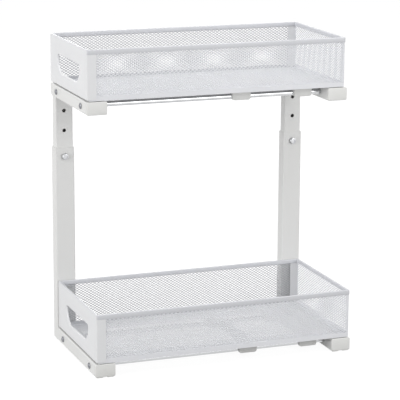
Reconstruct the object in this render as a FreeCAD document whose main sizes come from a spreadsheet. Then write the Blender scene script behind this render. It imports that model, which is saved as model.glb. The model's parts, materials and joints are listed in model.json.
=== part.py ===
"""Two-tier pull-out organizer for under a sink, as separate pieces in one document.

Two welded end frames of rectangular steel tube stand on the floor.  Round steel rails join
them, and a wire-mesh tray on plastic sliders pulls out along the rails of each tier.  The upper
tier's posts telescope in the lower ones and are locked by a screw in each post.

Frame: millimetres, +Z up, origin on the floor under the middle of the lower tier.  The trays
pull out towards -Y, the posts stand on the -X side and the +X side is open.
"""
import FreeCAD, Part
import math
import os
import re

import Sketcher

V = FreeCAD.Vector

# ---------------------------------------------------------------------------------------------
# Driving dimensions, in millimetres
# ---------------------------------------------------------------------------------------------
SIZES = {
    # frame
    "frame_long": 400,         # along Y, over both end frames
    "lower_deep": 214,         # lower end beams along X, caps included
    "upper_deep": 183,         # upper end beams along X, caps included
    "upper_base": 376.7,       # floor to the underside of the upper beams
    "outer_post_top": 299.4,   # floor to the top of the outer posts
    "post_insert": 102.7,      # inner post inside the outer one
    # rectangular tube of beams and outer posts, and the inner posts that slide in it
    "tube_wide": 30,
    "tube_deep": 19,
    "tube_wall": 1.2,
    "tube_corner": 2,
    "slide_gap": 0.3,          # running gap round the inner posts
    # plastic end caps and feet
    "cap_show": 4.5,           # collar of the caps at the open side
    "plug_show": 1.5,          # collar of the plugs behind the inner posts
    "tongue_long": 14,         # part of a cap inside its tube
    "tongue_play": 0.1,
    "tongue_wall": 1.6,
    "foot_proud": 1.2,
    "nub_wide": 10,            # two foot nubs under each lower cap
    "nub_long": 3.7,
    "nub_apart": 6,
    "nub_root": 0.8,           # nub inside its cap
    "pad_long": 24,            # rubber pad under the post end of each lower beam
    "pad_wide": 20,
    "pad_back": 3,
    # rails and the screws in their ends
    "rail_dia": 6,
    "rail_inset": 30,          # rail axis from the side of its tray
    "rail_tap_deep": 12,
    "screw_dia": 4,
    "screw_play": 0.05,        # thread clearance in the solids
    "screw_grip": 9,           # screw inside the rail
    "screw_room": 0.2,         # clearance hole round the screw
    "pan_dia": 9,
    "pan_tall": 2.2,
    # lock screws of the telescoping posts
    "lock_dia": 5,
    "lock_play": 0.05,
    "lock_down": 13.4,         # screw axis below the top of the outer post
    "lock_backed_off": 2.2,    # head off the post at rest, so that the posts can slide
    "lock_head_dia": 10,
    "lock_head_tall": 2.8,
    "socket_across": 3.2,      # hexagonal socket, corner to centre
    "socket_deep": 1.4,
    "lock_hole_dia": 5.8,      # row of holes in the inner post
    "lock_step_one": 39,       # second and third hole above the first
    "lock_step_two": 69,
    # trays
    "post_gap": 1,             # lower tray to the posts
    "tray_inset": 2,           # tray ends inside the frame's ends
    "upper_tray_forward": 1.8, # where the upper tray stands at rest
    "tray_gap": 1,             # beams to trays
    "tray_tall": 73,
    "sheet_thick": 1,          # pull panel, and rim
    "rim_tall": 7,
    "rim_inside": 5,
    "rim_corner": 2,
    "flange_long": 12.8,       # pull panel's returns along the mesh sides
    "bend_inside": 0.6,        # inside radius of its bends
    "grip_wide": 110,
    "grip_tall": 27,
    "grip_down": 26,           # cut-out's top edge below the rim's top
    "grip_low_round": 23,
    "grip_top_round": 3,
    # mesh
    "net_thick": 1,
    "net_border": 7,
    "net_long": 62,            # diamond, tip to tip along its panel
    "net_short": 36,
    "net_strand": 3,
    "net_corner_play": 1,      # mesh side starts behind the panel's bend
    # straps and sliders under the trays
    "strap_wide": 24,
    "strap_thick": 1.5,
    "slider_long": 28,
    "slider_wide": 16,
    "slider_under": 1.3,       # plastic under the rail
    "slider_corner": 3,
    "slider_play": 0.05,       # radial play on the rail
    "slider_rear_run": 15,     # rear sliders to the rear beam at rest
    "slider_spacing": 97,
    "stake_long": 14,          # moulded tongue of a slider, staked in a slot of its strap
    "stake_wide": 6,
    "stake_play": 0.1,
}

document = FreeCAD.newDocument("under_sink_organizer")
sheet = document.addObject("Spreadsheet::Sheet", "Sizes")
for row, (name, value) in enumerate(SIZES.items(), start=1):
    sheet.set(f"A{row}", name)
    sheet.set(f"B{row}", str(value))
    sheet.setAlias(f"B{row}", name)
document.recompute()

# Places that several pieces share, as formulas on the sheet's cells.
TRAY_LONG = "(frame_long - 2 * tray_inset)"
LOWER_TRAY_WIDE = "(lower_deep - tube_deep - post_gap)"
UPPER_TRAY_WIDE = "upper_deep"
BEAM_AT = "(frame_long / 2 - tube_wide / 2)"
RAIL_LONG = "(frame_long - 2 * tube_wide)"
POST_X = "(tube_deep / 2 - lower_deep / 2)"
LOCK_HEIGHT = "(outer_post_top - lock_down)"
INNER_WIDE = "(tube_wide - 2 * tube_wall - 2 * slide_gap)"
INNER_DEEP = "(tube_deep - 2 * tube_wall - 2 * slide_gap)"
SLIDER_REAR = "(frame_long / 2 - tube_wide - slider_rear_run - slider_long / 2)"
SLIDER_FRONT = "(frame_long / 2 - tube_wide - slider_rear_run - slider_long / 2 - slider_spacing)"
SLIDER_DROP = "(tray_gap + tube_deep / 2)"

pieces = []


# ---------------------------------------------------------------------------------------------
# Helpers
# ---------------------------------------------------------------------------------------------
def bound(formula):
    """Write a formula's size names as references to the sheet."""
    return re.sub(r"[a-z]\w*", lambda word: "Sizes." + word.group(), str(formula))


def place(item, x="0", y="0", z="0", turn=None):
    """Turn an object, then tie its position to the sheet."""
    if turn is not None:
        item.Placement = FreeCAD.Placement(V(0, 0, 0), turn)
    for letter, formula in zip("xyz", (x, y, z)):
        item.setExpression("Placement.Base." + letter, bound(formula))


def new_body(label):
    body = document.addObject("PartDesign::Body", label)
    body.Label = label
    pieces.append(body)
    return body


def origin_plane(body, role):
    return next(item for item in body.Origin.OriginFeatures if item.Role == role)


def new_sketch(body, role, lift=None):
    """Sketch on one of the body's origin planes, lifted off it by a formula if given."""
    sketch = body.newObject("Sketcher::SketchObject", "sketch")
    sketch.AttachmentSupport = [(origin_plane(body, role), "")]
    sketch.MapMode = "FlatFace"
    if lift is not None:
        sketch.setExpression("AttachmentOffset.Base.z", bound(lift))
    return sketch


def add_loop(sketch, corners):
    """Closed polygon whose corners are tied to the sheet, two formulas for each."""
    first = len(sketch.Geometry)
    count = len(corners)
    turns = [2 * math.pi * step / count for step in range(count)]
    start = [V(math.cos(turn), math.sin(turn), 0) for turn in turns]
    for step in range(count):
        sketch.addGeometry(Part.LineSegment(start[step], start[(step + 1) % count]))
    for step in range(count):
        after = first + (step + 1) % count
        sketch.addConstraint(Sketcher.Constraint("Coincident", first + step, 2, after, 1))
    for step, corner in enumerate(corners):
        guess = (start[step].x, start[step].y)
        for kind, formula, near in zip(("DistanceX", "DistanceY"), corner, guess):
            item = Sketcher.Constraint(kind, -1, 1, first + step, 1, near)
            number = sketch.addConstraint(item)
            sketch.setExpression(f"Constraints[{number}]", bound(formula))
    return sketch


def box_corners(low_x, high_x, low_y, high_y):
    return [(low_x, low_y), (high_x, low_y), (high_x, high_y), (low_x, high_y)]


def centred(wide, tall):
    return box_corners(f"-{wide} / 2", f"{wide} / 2", f"-{tall} / 2", f"{tall} / 2")


def add_circle(sketch, x, y, diameter):
    """Circle whose centre and diameter are tied to the sheet."""
    circle = sketch.addGeometry(Part.Circle(V(1, 1, 0), V(0, 0, 1), 1))
    for kind, formula in (("DistanceX", x), ("DistanceY", y)):
        number = sketch.addConstraint(Sketcher.Constraint(kind, -1, 1, circle, 3, 1))
        sketch.setExpression(f"Constraints[{number}]", bound(formula))
    number = sketch.addConstraint(Sketcher.Constraint("Diameter", circle, 2))
    sketch.setExpression(f"Constraints[{number}]", bound(diameter))
    return sketch


def pad(body, sketch, length, both_ways=False, backwards=False):
    feature = body.newObject("PartDesign::Pad", "pad")
    feature.Profile = sketch
    feature.Midplane = both_ways
    feature.Reversed = backwards
    feature.setExpression("Length", bound(length))
    return feature


def pocket(body, sketch, length=None, both_ways=False, backwards=False):
    """Cut a sketch through everything, or to a length, and check that it cut."""
    before = body.Shape.Volume
    feature = body.newObject("PartDesign::Pocket", "pocket")
    feature.Profile = sketch
    feature.Midplane = both_ways
    feature.Reversed = backwards
    if length is None:
        feature.Type = "ThroughAll"
    else:
        feature.setExpression("Length", bound(length))
    document.recompute()
    if feature.Shape.Volume >= before:
        raise RuntimeError(f"a pocket of {body.Label} cut nothing")
    return feature


def round_edges(body, radius, chosen):
    """Fillet the edges of the body's last feature that a test chooses."""
    document.recompute()
    base = body.Tip
    edges = enumerate(base.Shape.Edges, start=1)
    names = [f"Edge{number}" for number, edge in edges if chosen(edge)]
    feature = body.newObject("PartDesign::Fillet", "fillet")
    feature.Base = (base, names)
    feature.setExpression("Radius", bound(radius))
    document.recompute()


def runs_along(edge, letter):
    """True for a straight edge along one axis."""
    if edge.Curve.TypeId != "Part::GeomLine":
        return False
    return abs(getattr(edge.tangentAt(edge.FirstParameter), letter)) > 0.999


def near(value, target):
    return abs(value - target) < 0.01


# ---------------------------------------------------------------------------------------------
# Tubes
# ---------------------------------------------------------------------------------------------
def tube(body, plane, size, length, wall):
    """Rectangular tube with rounded outside corners, standing on one of the origin planes."""
    across = {"XY_Plane": "z", "YZ_Plane": "x"}[plane]
    pad(body, add_loop(new_sketch(body, plane), centred(*size)), length)
    round_edges(body, "tube_corner", lambda edge: runs_along(edge, across))
    inside = [f"({side} - 2 * {wall})" for side in size]
    pocket(body, add_loop(new_sketch(body, plane), centred(*inside)), backwards=True)


def rail_holes(body, start, tray_wide, tray_centre):
    """Clearance holes for the rail screws, through both side walls of a beam."""
    sketch = new_sketch(body, "XZ_Plane")
    for sign in "-+":
        x = f"{tray_centre} {sign} ({tray_wide} / 2 - rail_inset) - {start}"
        add_circle(sketch, x, "0", "(screw_dia + 2 * screw_room)")
    pocket(body, sketch, both_ways=True)


def lower_beam(label, side):
    """Floor beam, mitred at the post end; its own origin is at that end, on the tube's axis."""
    body = new_body(label)
    start = "(-lower_deep / 2)"
    tube(body, "YZ_Plane", ("tube_wide", "tube_deep"), "lower_deep - cap_show", "tube_wall")
    mitre = add_loop(new_sketch(body, "XZ_Plane"), [
        ("-tube_deep", "-tube_deep * 3 / 2"),
        ("tube_deep * 2", "tube_deep * 3 / 2"),
        ("-tube_deep", "tube_deep * 3 / 2"),
    ])
    pocket(body, mitre, both_ways=True)
    rail_holes(body, start, LOWER_TRAY_WIDE, "(tube_deep + post_gap) / 2")
    place(body, start, f"{side} * {BEAM_AT}", "foot_proud + tube_deep / 2")


def upper_beam(label, side):
    """Upper beam, square at both ends between its plug and its cap."""
    body = new_body(label)
    start = "(plug_show - lower_deep / 2)"
    tube(body, "YZ_Plane", ("tube_wide", "tube_deep"),
         "upper_deep - cap_show - plug_show", "tube_wall")
    rail_holes(body, start, UPPER_TRAY_WIDE, "(upper_deep - lower_deep) / 2")
    place(body, start, f"{side} * {BEAM_AT}", "upper_base + tube_deep / 2")


def outer_post(label, side):
    """Outer post, mitred to the floor beam, with the tapped hole for its lock screw."""
    body = new_body(label)
    tube(body, "XY_Plane", ("tube_deep", "tube_wide"), "outer_post_top - foot_proud", "tube_wall")
    mitre = add_loop(new_sketch(body, "XZ_Plane"), [
        ("-tube_deep * 3 / 2", "-tube_deep"),
        ("tube_deep * 3 / 2", "-tube_deep"),
        ("tube_deep * 3 / 2", "tube_deep * 2"),
    ])
    pocket(body, mitre, both_ways=True)
    hole = new_sketch(body, "YZ_Plane")
    add_circle(hole, "0", f"{LOCK_HEIGHT} - foot_proud", "(lock_dia + 2 * lock_play)")
    pocket(body, hole, backwards=True)
    place(body, POST_X, f"{side} * {BEAM_AT}", "foot_proud")


def inner_post(label, side):
    """Inner post, welded under the upper beam, with the row of lock holes."""
    body = new_body(label)
    foot = "(outer_post_top - post_insert)"
    tube(body, "XY_Plane", (INNER_DEEP, INNER_WIDE), f"upper_base - {foot}", "tube_wall")
    holes = new_sketch(body, "YZ_Plane")
    for step in ("0", "lock_step_one", "lock_step_two"):
        add_circle(holes, "0", f"{LOCK_HEIGHT} - {foot} + {step}", "lock_hole_dia")
    pocket(body, holes, backwards=True)
    place(body, POST_X, f"{side} * {BEAM_AT}", foot)


# ---------------------------------------------------------------------------------------------
# End caps and feet
# ---------------------------------------------------------------------------------------------
def end_cap(label, show, x, side, z, turn=None, with_feet=False):
    """Moulded plug: a collar flush with the tube and a hollow tongue inside it."""
    body = new_body(label)
    pad(body, add_loop(new_sketch(body, "YZ_Plane"), centred("tube_wide", "tube_deep")), show)
    round_edges(body, "tube_corner", lambda edge: runs_along(edge, "x"))
    wide = "(tube_wide - 2 * tube_wall - 2 * tongue_play)"
    deep = "(tube_deep - 2 * tube_wall - 2 * tongue_play)"
    tongue = add_loop(new_sketch(body, "YZ_Plane"), centred(wide, deep))
    pad(body, tongue, "tongue_long", backwards=True)
    document.recompute()
    core = [f"({length} - 2 * tongue_wall)" for length in (wide, deep)]
    hollow = add_loop(new_sketch(body, "YZ_Plane"), centred(*core))
    pocket(body, hollow, "tongue_long")
    if with_feet:
        nubs = new_sketch(body, "YZ_Plane")
        for left, right in (("-nub_apart / 2 - nub_wide", "-nub_apart / 2"),
                            ("nub_apart / 2", "nub_apart / 2 + nub_wide")):
            add_loop(nubs, box_corners(left, right, "-tube_deep / 2 - foot_proud",
                                       "-tube_deep / 2 + nub_root"))
        pad(body, nubs, "nub_long")
    place(body, x, f"{side} * {BEAM_AT}", z, turn)


def rubber_feet():
    """Two rubber pads, one under the post end of each floor beam."""
    body = new_body("lower_rubber_feet")
    sketch = new_sketch(body, "XY_Plane")
    for side in ("-1", "1"):
        middle = f"{side} * {BEAM_AT}"
        add_loop(sketch, box_corners("0", "pad_long", f"{middle} - pad_wide / 2",
                                     f"{middle} + pad_wide / 2"))
    pad(body, sketch, "foot_proud")
    place(body, "pad_back - lower_deep / 2")


# ---------------------------------------------------------------------------------------------
# Rails and screws
# ---------------------------------------------------------------------------------------------
def rail(label, x, z):
    """Round rail between the end beams, tapped at both ends."""
    body = new_body(label)
    round_bar = add_circle(new_sketch(body, "XZ_Plane"), "0", "0", "rail_dia")
    pad(body, round_bar, RAIL_LONG, both_ways=True)
    for lift, backwards in ((f"{RAIL_LONG} / 2", False), (f"-{RAIL_LONG} / 2", True)):
        document.recompute()
        bore = new_sketch(body, "XZ_Plane", lift)
        add_circle(bore, "0", "0", "(screw_dia + 2 * screw_play)")
        pocket(body, bore, "rail_tap_deep", backwards=backwards)
    place(body, x, "0", z)


def turned_screw(shank_dia, shank_long, head_dia, head_tall):
    """Screw along Z with its head's underside at z = 0, turned from its half outline."""
    shank = shank_dia / 2
    head = head_dia / 2
    outline = [V(0, 0, -shank_long), V(shank, 0, -shank_long), V(shank, 0, 0), V(head, 0, 0),
               V(head, 0, head_tall), V(0, 0, head_tall)]
    half = Part.Face(Part.makePolygon(outline + outline[:1]))
    return half.revolve(V(0, 0, 0), V(0, 0, 1), 360)


def plain_feature(label, shape):
    """Sub-part whose shape is made with Part's own functions."""
    feature = document.addObject("Part::Feature", label)
    feature.Label = label
    feature.Shape = shape
    pieces.append(feature)
    return feature


def rail_screws(label, tray_wide, tray_centre_x, z):
    """The four pan-head screws of one tier, one through each beam into each rail end."""
    screw = turned_screw(SIZES["screw_dia"], SIZES["tube_wide"] + SIZES["screw_grip"],
                         SIZES["pan_dia"], SIZES["pan_tall"])
    group = []
    for side_x in (-1, 1):
        for side_y in (-1, 1):
            copy = screw.copy()
            lean = FreeCAD.Rotation(V(1, 0, 0), -90 * side_y)
            spot = V(side_x * (tray_wide / 2 - SIZES["rail_inset"]),
                     side_y * SIZES["frame_long"] / 2, 0)
            copy.Placement = FreeCAD.Placement(spot, lean)
            group.append(copy)
    place(plain_feature(label, Part.makeCompound(group)), tray_centre_x, "0", z)


def lock_screw(label, side):
    """Button-head screw in the outer post; its tip stops flush inside that post at rest."""
    screw = turned_screw(SIZES["lock_dia"], SIZES["tube_wall"] + SIZES["lock_backed_off"],
                         SIZES["lock_head_dia"], SIZES["lock_head_tall"])
    turns = [step * math.pi / 3 for step in range(7)]
    corners = [V(math.cos(turn), math.sin(turn), 0) * SIZES["socket_across"] for turn in turns]
    socket = Part.Face(Part.makePolygon(corners)).extrude(V(0, 0, SIZES["lock_head_tall"]))
    socket.translate(V(0, 0, SIZES["lock_head_tall"] - SIZES["socket_deep"]))
    place(plain_feature(label, screw.cut(socket)),
          "tube_deep - lower_deep / 2 + lock_backed_off", f"{side} * {BEAM_AT}",
          LOCK_HEIGHT, FreeCAD.Rotation(V(0, 1, 0), 90))


# ---------------------------------------------------------------------------------------------
# Trays
# ---------------------------------------------------------------------------------------------
def pull_panel(label, wide, x, y, z):
    """Sheet-steel end of the tray, folded back along both sides, with the finger cut-out."""
    body = new_body(label)
    half = f"({wide} / 2)"
    back = "(sheet_thick + flange_long)"
    folded = add_loop(new_sketch(body, "XY_Plane"), [
        (f"-{half}", "sheet_thick"), (half, "sheet_thick"), (half, back),
        (f"{half} - sheet_thick", back), (f"{half} - sheet_thick", "2 * sheet_thick"),
        (f"-{half} + sheet_thick", "2 * sheet_thick"), (f"-{half} + sheet_thick", back),
        (f"-{half}", back),
    ])
    pad(body, folded, "tray_tall - rim_tall")
    bend_x = tray_width(wide) / 2
    bend_y = SIZES["sheet_thick"]

    def bend(edge, inwards):
        middle = edge.BoundBox.Center
        return (runs_along(edge, "z") and near(abs(middle.x), bend_x - inwards)
                and near(middle.y, bend_y + inwards))

    round_edges(body, "bend_inside + sheet_thick", lambda edge: bend(edge, 0))
    round_edges(body, "bend_inside", lambda edge: bend(edge, SIZES["sheet_thick"]))
    upper = box_corners(f"-{half} + sheet_thick", f"{half} - sheet_thick",
                        "sheet_thick", "2 * sheet_thick")
    pad(body, add_loop(new_sketch(body, "XY_Plane", "tray_tall - rim_tall"), upper),
        "rim_tall - sheet_thick")
    document.recompute()
    low = "(tray_tall - grip_down - grip_tall)"
    grip = add_loop(new_sketch(body, "XZ_Plane"),
                    box_corners("-grip_wide / 2", "grip_wide / 2", low, "tray_tall - grip_down"))
    pocket(body, grip, "4 * sheet_thick")
    edge_x = SIZES["grip_wide"] / 2
    high_z = SIZES["tray_tall"] - SIZES["grip_down"]
    low_z = high_z - SIZES["grip_tall"]

    def grip_corner(edge, height):
        middle = edge.BoundBox.Center
        return runs_along(edge, "y") and near(abs(middle.x), edge_x) and near(middle.z, height)

    round_edges(body, "grip_low_round", lambda edge: grip_corner(edge, low_z))
    round_edges(body, "grip_top_round", lambda edge: grip_corner(edge, high_z))
    place(body, x, f"{y} - {TRAY_LONG} / 2", z)


def tray_rim(label, wide, x, y, z):
    """Folded rim over the walls' top edges: outside lip, top web and inside lip."""
    body = new_body(label)

    def ring(outset, inset, drop):
        sketch = new_sketch(body, "XY_Plane")
        for step in (outset, inset):
            add_loop(sketch, centred(f"({wide} - {step} * sheet_thick)",
                                     f"({TRAY_LONG} - {step} * sheet_thick)"))
        pad(body, sketch, drop, backwards=True)

    ring(0, 2, "rim_tall")
    half = tray_width(wide) / 2
    round_edges(body, "rim_corner",
                lambda edge: runs_along(edge, "z") and near(abs(edge.BoundBox.Center.x), half))
    ring(2, 6, "sheet_thick")
    ring(4, 6, "sheet_thick + rim_inside")
    place(body, x, y, f"{z} + tray_tall")


def tray_width(wide):
    """The number behind a tray's width formula."""
    if wide == UPPER_TRAY_WIDE:
        return SIZES["upper_deep"]
    return SIZES["lower_deep"] - SIZES["tube_deep"] - SIZES["post_gap"]


def net(label, long, tall, top_border):
    """Flat mesh panel: a sheet with rows of diamonds, half ones along its border.

    It lies in its own XY plane, centred along X, from y = 0, with its thickness along +Z.
    """
    border = SIZES["net_border"]
    field_long = long - 2 * border
    field_tall = tall - border - top_border
    columns = max(1, round(field_long / SIZES["net_long"]))
    rows = max(1, round(field_tall / SIZES["net_short"]))
    pitch_x = field_long / columns
    pitch_y = field_tall / rows
    slope = math.hypot(pitch_x, pitch_y)
    half_x = pitch_x / 2 - SIZES["net_strand"] / 2 * slope / pitch_y
    half_y = pitch_y / 2 - SIZES["net_strand"] / 2 * slope / pitch_x
    rim = [V(-long / 2, 0, 0), V(long / 2, 0, 0), V(long / 2, tall, 0), V(-long / 2, tall, 0)]
    wires = [Part.makePolygon(rim + rim[:1])]
    for step_x in range(2 * columns + 1):
        for step_y in range(2 * rows + 1):
            on_x_edge = step_x in (0, 2 * columns)
            on_y_edge = step_y in (0, 2 * rows)
            if (step_x + step_y) % 2 or (on_x_edge and on_y_edge):
                continue
            x = step_x * pitch_x / 2 - field_long / 2
            y = step_y * pitch_y / 2 + border
            tips = [V(x - half_x, y, 0), V(x, y - half_y, 0), V(x + half_x, y, 0),
                    V(x, y + half_y, 0)]
            if on_x_edge:
                tips.pop(0 if step_x == 0 else 2)
            if on_y_edge:
                tips.pop(1 if step_y == 0 else 3)
            wires.append(Part.makePolygon(tips + tips[:1]))
    face = Part.Face(wires[0]).cut(Part.makeCompound([Part.Face(wire) for wire in wires[1:]]))
    return plain_feature(label, face.Faces[0].extrude(V(0, 0, SIZES["net_thick"])))


def tray_nets(tier, wide, x, y, z):
    """Mesh floor and the three mesh walls of one tray."""
    thick = SIZES["net_thick"]
    sheet_thick = SIZES["sheet_thick"]
    width = tray_width(wide)
    tray_long = SIZES["frame_long"] - 2 * SIZES["tray_inset"]
    wall_tall = SIZES["tray_tall"] - sheet_thick
    floor_long = tray_long - 3 * sheet_thick - thick
    side_long = floor_long - SIZES["net_corner_play"]
    covered = SIZES["rim_tall"] - sheet_thick + 2
    along_y = FreeCAD.Rotation(V(1, 1, 1), 120)
    lean_back = "(sheet_thick - net_thick) / 2"
    side_y = f"{y} + {lean_back} + net_corner_play / 2"
    place(net(f"{tier}_mesh_right", side_long, wall_tall, covered),
          f"{x} + {wide} / 2 - sheet_thick - net_thick", side_y, z, along_y)
    place(net(f"{tier}_mesh_left", side_long, wall_tall, covered),
          f"{x} - {wide} / 2 + sheet_thick", side_y, z, along_y)
    place(net(f"{tier}_mesh_rear", width - 2 * sheet_thick, wall_tall, covered),
          x, f"{y} + {TRAY_LONG} / 2 - sheet_thick", z, FreeCAD.Rotation(V(1, 0, 0), 90))
    floor = net(f"{tier}_mesh_floor", floor_long, width - 2 * sheet_thick - 2 * thick,
                SIZES["net_border"])
    place(floor, f"{x} + {wide} / 2 - sheet_thick - net_thick", f"{y} + {lean_back}",
          f"{z} + strap_thick", FreeCAD.Rotation(V(0, 0, 1), 90))


def tray_strap(label, wide, x, y, z, at):
    """Flat steel strap across the tray under its mesh floor, with a slot for each slider."""
    body = new_body(label)
    long = f"({wide} - 2 * sheet_thick - 2 * net_thick)"
    pad(body, add_loop(new_sketch(body, "XY_Plane"), centred(long, "strap_wide")), "strap_thick")
    document.recompute()
    slots = new_sketch(body, "XY_Plane")
    slot_wide = "(stake_wide / 2 + stake_play)"
    slot_long = "(stake_long / 2 + stake_play)"
    for side in ("-1", "1"):
        middle = f"{side} * ({wide} / 2 - rail_inset)"
        add_loop(slots, box_corners(f"{middle} - {slot_wide}", f"{middle} + {slot_wide}",
                                    f"-{slot_long}", slot_long))
    pocket(body, slots, backwards=True)
    place(body, x, f"{y} + {at}", z)


def slider(label, wide, x, y, z, side, at):
    """Plastic slider that wraps the rail, with a tongue staked in its strap's slot.

    Its own origin is on the rail's axis.
    """
    body = new_body(label)
    low = "(rail_dia / 2 + slider_play + slider_under)"
    block = add_loop(new_sketch(body, "YZ_Plane"), [
        ("-slider_long / 2 + slider_corner", f"-{low}"),
        ("slider_long / 2 - slider_corner", f"-{low}"),
        ("slider_long / 2", f"-{low} + slider_corner"),
        ("slider_long / 2", SLIDER_DROP),
        ("-slider_long / 2", SLIDER_DROP),
        ("-slider_long / 2", f"-{low} + slider_corner"),
    ])
    pad(body, block, "slider_wide", both_ways=True)
    document.recompute()
    bore = add_circle(new_sketch(body, "XZ_Plane"), "0", "0", "(rail_dia + 2 * slider_play)")
    pocket(body, bore, both_ways=True)
    tongue = new_sketch(body, "XY_Plane", SLIDER_DROP)
    pad(body, add_loop(tongue, centred("stake_wide", "stake_long")), "strap_thick")
    place(body, f"{x} + {side} * ({wide} / 2 - rail_inset)", f"{y} + {at}",
          f"{z} - {SLIDER_DROP}")


def tray(tier, wide, x, y, z):
    """All pieces of one tray; x, y and z are the middle of its underside at rest."""
    pull_panel(f"{tier}_pull_panel", wide, x, y, z)
    tray_nets(tier, wide, x, y, z)
    tray_rim(f"{tier}_rim", wide, x, y, z)
    for end, at in (("front", SLIDER_FRONT), ("rear", SLIDER_REAR)):
        tray_strap(f"{tier}_strap_{end}", wide, x, y, z, at)
        for name, side in (("left", "-1"), ("right", "1")):
            slider(f"{tier}_slider_{end}_{name}", wide, x, y, z, side, at)


# ---------------------------------------------------------------------------------------------
# The organizer
# ---------------------------------------------------------------------------------------------
LOWER_TRAY_X = "((tube_deep + post_gap) / 2)"
UPPER_TRAY_X = "((upper_deep - lower_deep) / 2)"
LOWER_AXIS = "(foot_proud + tube_deep / 2)"
UPPER_AXIS = "(upper_base + tube_deep / 2)"
UPPER_TRAY_Y = "(-upper_tray_forward)"

for end, side in (("front", "-1"), ("rear", "1")):
    lower_beam(f"lower_beam_{end}", side)
    upper_beam(f"upper_beam_{end}", side)
    outer_post(f"outer_post_{end}", side)
    inner_post(f"inner_post_{end}", side)
    end_cap(f"lower_end_cap_{end}", "cap_show", "lower_deep / 2 - cap_show", side, LOWER_AXIS,
            with_feet=True)
    end_cap(f"upper_end_cap_{end}", "cap_show", "upper_deep - lower_deep / 2 - cap_show", side,
            UPPER_AXIS)
    end_cap(f"upper_back_plug_{end}", "plug_show", "plug_show - lower_deep / 2", side,
            UPPER_AXIS, turn=FreeCAD.Rotation(V(0, 0, 1), 180))
    lock_screw(f"lock_screw_{end}", side)
rubber_feet()

for name, sign in (("left", "-"), ("right", "+")):
    rail(f"lower_rail_{name}", f"{LOWER_TRAY_X} {sign} ({LOWER_TRAY_WIDE} / 2 - rail_inset)",
         LOWER_AXIS)
    rail(f"upper_rail_{name}", f"{UPPER_TRAY_X} {sign} ({UPPER_TRAY_WIDE} / 2 - rail_inset)",
         UPPER_AXIS)
rail_screws("lower_rail_screws", tray_width(LOWER_TRAY_WIDE), LOWER_TRAY_X, LOWER_AXIS)
rail_screws("upper_rail_screws", tray_width(UPPER_TRAY_WIDE), UPPER_TRAY_X, UPPER_AXIS)

tray("lower_tray", LOWER_TRAY_WIDE, LOWER_TRAY_X, "0", "(foot_proud + tube_deep + tray_gap)")
tray("upper_tray", UPPER_TRAY_WIDE, UPPER_TRAY_X, UPPER_TRAY_Y,
     "(upper_base + tube_deep + tray_gap)")

# ---------------------------------------------------------------------------------------------
# Check and write
# ---------------------------------------------------------------------------------------------
document.recompute()
for item in document.Objects:
    if "Invalid" in item.State or "Error" in item.State:
        raise RuntimeError(f"{item.Label} failed: {item.State}")
for item in pieces:
    if item.Shape.isNull() or not item.Shape.isValid():
        raise RuntimeError(f"{item.Label} has no valid shape")

os.makedirs("parts", exist_ok=True)
for item in pieces:
    item.Shape.exportStep(f"parts/{item.Label}.step")
print(f"{len(pieces)} pieces, {sum(len(item.Shape.Solids) for item in pieces)} solids")
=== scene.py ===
# %% [markdown]
# # Two-tier under-sink organizer
# The organizer is sheet steel, steel tube and mesh, all powder coated white, with a few plastic
# mouldings and plated screws.  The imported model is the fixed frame: it says where each piece is,
# how large it is and which body carries it.  This notebook gives the pieces their finish, and
# makes the mesh, the folded sheet and the mouldings again with the detail that the eye expects.

# %% Load the frame
import json
import math
from itertools import product

import bmesh
import bpy
from mathutils import Matrix, Vector


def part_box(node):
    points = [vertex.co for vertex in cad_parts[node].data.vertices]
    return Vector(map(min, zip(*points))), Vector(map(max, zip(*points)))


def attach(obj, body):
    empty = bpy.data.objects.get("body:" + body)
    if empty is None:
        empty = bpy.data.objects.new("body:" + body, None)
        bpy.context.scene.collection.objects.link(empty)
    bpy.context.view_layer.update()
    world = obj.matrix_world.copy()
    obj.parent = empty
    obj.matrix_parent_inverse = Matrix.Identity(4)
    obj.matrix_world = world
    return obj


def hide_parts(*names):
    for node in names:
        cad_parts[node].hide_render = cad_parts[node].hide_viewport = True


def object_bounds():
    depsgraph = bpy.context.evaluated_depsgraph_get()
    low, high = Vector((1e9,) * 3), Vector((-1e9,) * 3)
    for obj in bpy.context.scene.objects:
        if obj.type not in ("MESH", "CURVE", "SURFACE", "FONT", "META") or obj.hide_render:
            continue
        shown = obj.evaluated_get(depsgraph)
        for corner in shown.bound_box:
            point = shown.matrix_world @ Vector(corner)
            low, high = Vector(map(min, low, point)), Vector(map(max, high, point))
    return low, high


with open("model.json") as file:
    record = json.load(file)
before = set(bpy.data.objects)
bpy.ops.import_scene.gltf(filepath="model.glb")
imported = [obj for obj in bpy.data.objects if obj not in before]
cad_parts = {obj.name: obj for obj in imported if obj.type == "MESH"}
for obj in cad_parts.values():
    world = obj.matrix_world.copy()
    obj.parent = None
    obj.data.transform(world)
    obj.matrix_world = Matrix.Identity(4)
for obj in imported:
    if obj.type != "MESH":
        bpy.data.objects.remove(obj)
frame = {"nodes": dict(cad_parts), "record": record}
cad_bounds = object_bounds()
MM = 0.001
TIERS = ("lower", "upper")
ENDS = ("front", "rear")
SIDES = ("left", "right")
size = (cad_bounds[1] - cad_bounds[0]) / MM
print("organizer, mm:", [round(side, 1) for side in size])

# %% [markdown]
# ## Colours and nodes
# Colours are picked as sRGB hex values, as a paint chart gives them, and shaders work in linear
# light, so one function turns them.  One more adds a node with its settings and links: a number
# or a name picks an input, and any other name is a property of the node.

# %% Colour and node helpers
def linear(hex_colour):
    """Linear red, green, blue and alpha of an sRGB hex colour."""
    channels = [int(hex_colour[start:start + 2], 16) / 255 for start in (1, 3, 5)]
    return [c / 12.92 if c <= 0.04045 else ((c + 0.055) / 1.055) ** 2.4 for c in channels] + [1.0]


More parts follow.
